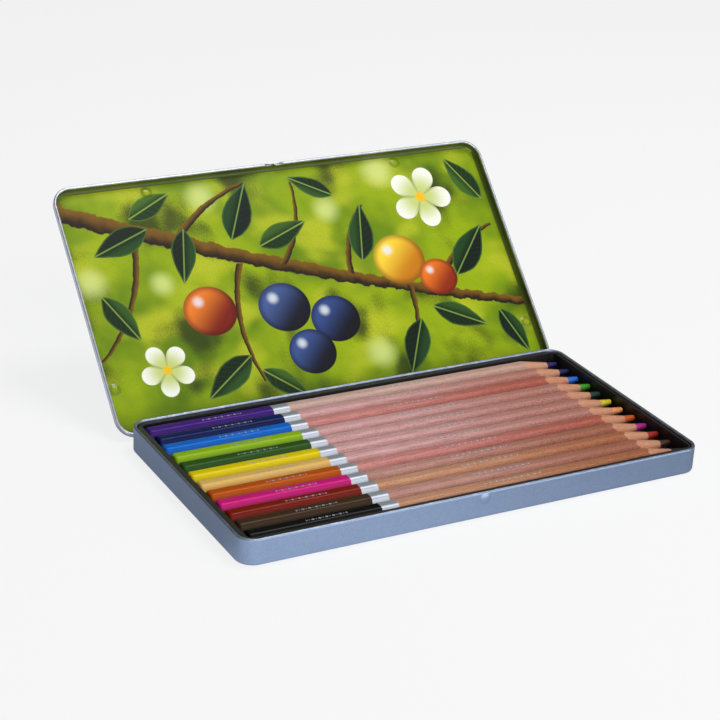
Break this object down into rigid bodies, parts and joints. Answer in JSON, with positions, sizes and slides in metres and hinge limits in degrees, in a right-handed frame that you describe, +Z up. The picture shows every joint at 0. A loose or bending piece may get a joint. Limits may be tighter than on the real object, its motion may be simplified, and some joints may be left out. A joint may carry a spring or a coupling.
{
  "type": "colored pencil tin",
  "caption": "Flat hinged tinplate box, open, with a moulded insert that holds a row of sharpened hexagonal colored pencils.",
  "frame": {"origin": "centre of the underside of the base", "axes": "+X along the tin towards the pencil tips, +Y towards the hinge, +Z up"},
  "size_m": [0.1898, 0.1768, 0.0752],
  "materials": {
    "base_tinplate": "satin blue-grey lacquer on tinplate, bright rolled rim",
    "lid_tinplate": "satin blue-grey lacquer outside, glossy printed leaf pattern inside, bright rolled rim",
    "pin_wire": "drawn steel wire",
    "insert_plastic": "thin moulded black plastic, soft sheen",
    "violet_slats": "bare cedar-like wood, violet lacquer dip and foil band at the blunt end",
    "violet_lead": "waxy coloured lead",
    "navy_slats": "bare cedar-like wood, navy lacquer dip and foil band at the blunt end",
    "navy_lead": "waxy coloured lead",
    "blue_slats": "bare cedar-like wood, blue lacquer dip and foil band at the blunt end",
    "blue_lead": "waxy coloured lead",
    "light_green_slats": "bare cedar-like wood, light green lacquer dip and foil band at the blunt end",
    "light_green_lead": "waxy coloured lead",
    "dark_green_slats": "bare cedar-like wood, dark green lacquer dip and foil band at the blunt end",
    "dark_green_lead": "waxy coloured lead",
    "yellow_slats": "bare cedar-like wood, yellow lacquer dip and foil band at the blunt end",
    "yellow_lead": "waxy coloured lead",
    "peach_slats": "bare cedar-like wood, peach lacquer dip and foil band at the blunt end",
    "peach_lead": "waxy coloured lead",
    "orange_slats": "bare cedar-like wood, orange lacquer dip and foil band at the blunt end",
    "orange_lead": "waxy coloured lead",
    "magenta_slats": "bare cedar-like wood, magenta lacquer dip and foil band at the blunt end",
    "magenta_lead": "waxy coloured lead",
    "dark_red_slats": "bare cedar-like wood, dark red lacquer dip and foil band at the blunt end",
    "dark_red_lead": "waxy coloured lead",
    "brown_slats": "bare cedar-like wood, brown lacquer dip and foil band at the blunt end",
    "brown_lead": "waxy coloured lead",
    "black_slats": "bare cedar-like wood, black lacquer dip and foil band at the blunt end",
    "black_lead": "waxy coloured lead"
  },
  "bodies": {
    "base": {"base_shell": "base_tinplate", "hinge_pin_left": "pin_wire", "hinge_pin_right": "pin_wire"},
    "lid": {"lid_shell": "lid_tinplate"},
    "insert": {"insert_tray": "insert_plastic"},
    "violet_pencil": {"violet_pencil_upper_slat": "violet_slats", "violet_pencil_lower_slat": "violet_slats", "violet_pencil_core": "violet_lead"},
    "navy_pencil": {"navy_pencil_upper_slat": "navy_slats", "navy_pencil_lower_slat": "navy_slats", "navy_pencil_core": "navy_lead"},
    "blue_pencil": {"blue_pencil_upper_slat": "blue_slats", "blue_pencil_lower_slat": "blue_slats", "blue_pencil_core": "blue_lead"},
    "light_green_pencil": {"light_green_pencil_upper_slat": "light_green_slats", "light_green_pencil_lower_slat": "light_green_slats", "light_green_pencil_core": "light_green_lead"},
    "dark_green_pencil": {"dark_green_pencil_upper_slat": "dark_green_slats", "dark_green_pencil_lower_slat": "dark_green_slats", "dark_green_pencil_core": "dark_green_lead"},
    "yellow_pencil": {"yellow_pencil_upper_slat": "yellow_slats", "yellow_pencil_lower_slat": "yellow_slats", "yellow_pencil_core": "yellow_lead"},
    "peach_pencil": {"peach_pencil_upper_slat": "peach_slats", "peach_pencil_lower_slat": "peach_slats", "peach_pencil_core": "peach_lead"},
    "orange_pencil": {"orange_pencil_upper_slat": "orange_slats", "orange_pencil_lower_slat": "orange_slats", "orange_pencil_core": "orange_lead"},
    "magenta_pencil": {"magenta_pencil_upper_slat": "magenta_slats", "magenta_pencil_lower_slat": "magenta_slats", "magenta_pencil_core": "magenta_lead"},
    "dark_red_pencil": {"dark_red_pencil_upper_slat": "dark_red_slats", "dark_red_pencil_lower_slat": "dark_red_slats", "dark_red_pencil_core": "dark_red_lead"},
    "brown_pencil": {"brown_pencil_upper_slat": "brown_slats", "brown_pencil_lower_slat": "brown_slats", "brown_pencil_core": "brown_lead"},
    "black_pencil": {"black_pencil_upper_slat": "black_slats", "black_pencil_lower_slat": "black_slats", "black_pencil_core": "black_lead"}
  },
  "joints": [
    {"name": "lid_hinge", "type": "hinge", "parent": "base", "child": "lid", "pos_m": [0, 0.05067, 0.00471], "axis": [-1, 0, 0], "range_deg": [-135, 0]},
    {"name": "insert_lift", "type": "slide", "parent": "base", "child": "insert", "axis": [0, 0, 1], "range_m": [0, 0.03]},
    {"name": "violet_pencil_lift", "type": "slide", "parent": "insert", "child": "violet_pencil", "axis": [0, 0, 1], "range_m": [0, 0.04]},
    {"name": "navy_pencil_lift", "type": "slide", "parent": "insert", "child": "navy_pencil", "axis": [0, 0, 1], "range_m": [0, 0.04]},
    {"name": "blue_pencil_lift", "type": "slide", "parent": "insert", "child": "blue_pencil", "axis": [0, 0, 1], "range_m": [0, 0.04]},
    {"name": "light_green_pencil_lift", "type": "slide", "parent": "insert", "child": "light_green_pencil", "axis": [0, 0, 1], "range_m": [0, 0.04]},
    {"name": "dark_green_pencil_lift", "type": "slide", "parent": "insert", "child": "dark_green_pencil", "axis": [0, 0, 1], "range_m": [0, 0.04]},
    {"name": "yellow_pencil_lift", "type": "slide", "parent": "insert", "child": "yellow_pencil", "axis": [0, 0, 1], "range_m": [0, 0.04]},
    {"name": "peach_pencil_lift", "type": "slide", "parent": "insert", "child": "peach_pencil", "axis": [0, 0, 1], "range_m": [0, 0.04]},
    {"name": "orange_pencil_lift", "type": "slide", "parent": "insert", "child": "orange_pencil", "axis": [0, 0, 1], "range_m": [0, 0.04]},
    {"name": "magenta_pencil_lift", "type": "slide", "parent": "insert", "child": "magenta_pencil", "axis": [0, 0, 1], "range_m": [0, 0.04]},
    {"name": "dark_red_pencil_lift", "type": "slide", "parent": "insert", "child": "dark_red_pencil", "axis": [0, 0, 1], "range_m": [0, 0.04]},
    {"name": "brown_pencil_lift", "type": "slide", "parent": "insert", "child": "brown_pencil", "axis": [0, 0, 1], "range_m": [0, 0.04]},
    {"name": "black_pencil_lift", "type": "slide", "parent": "insert", "child": "black_pencil", "axis": [0, 0, 1], "range_m": [0, 0.04]}
  ]
}
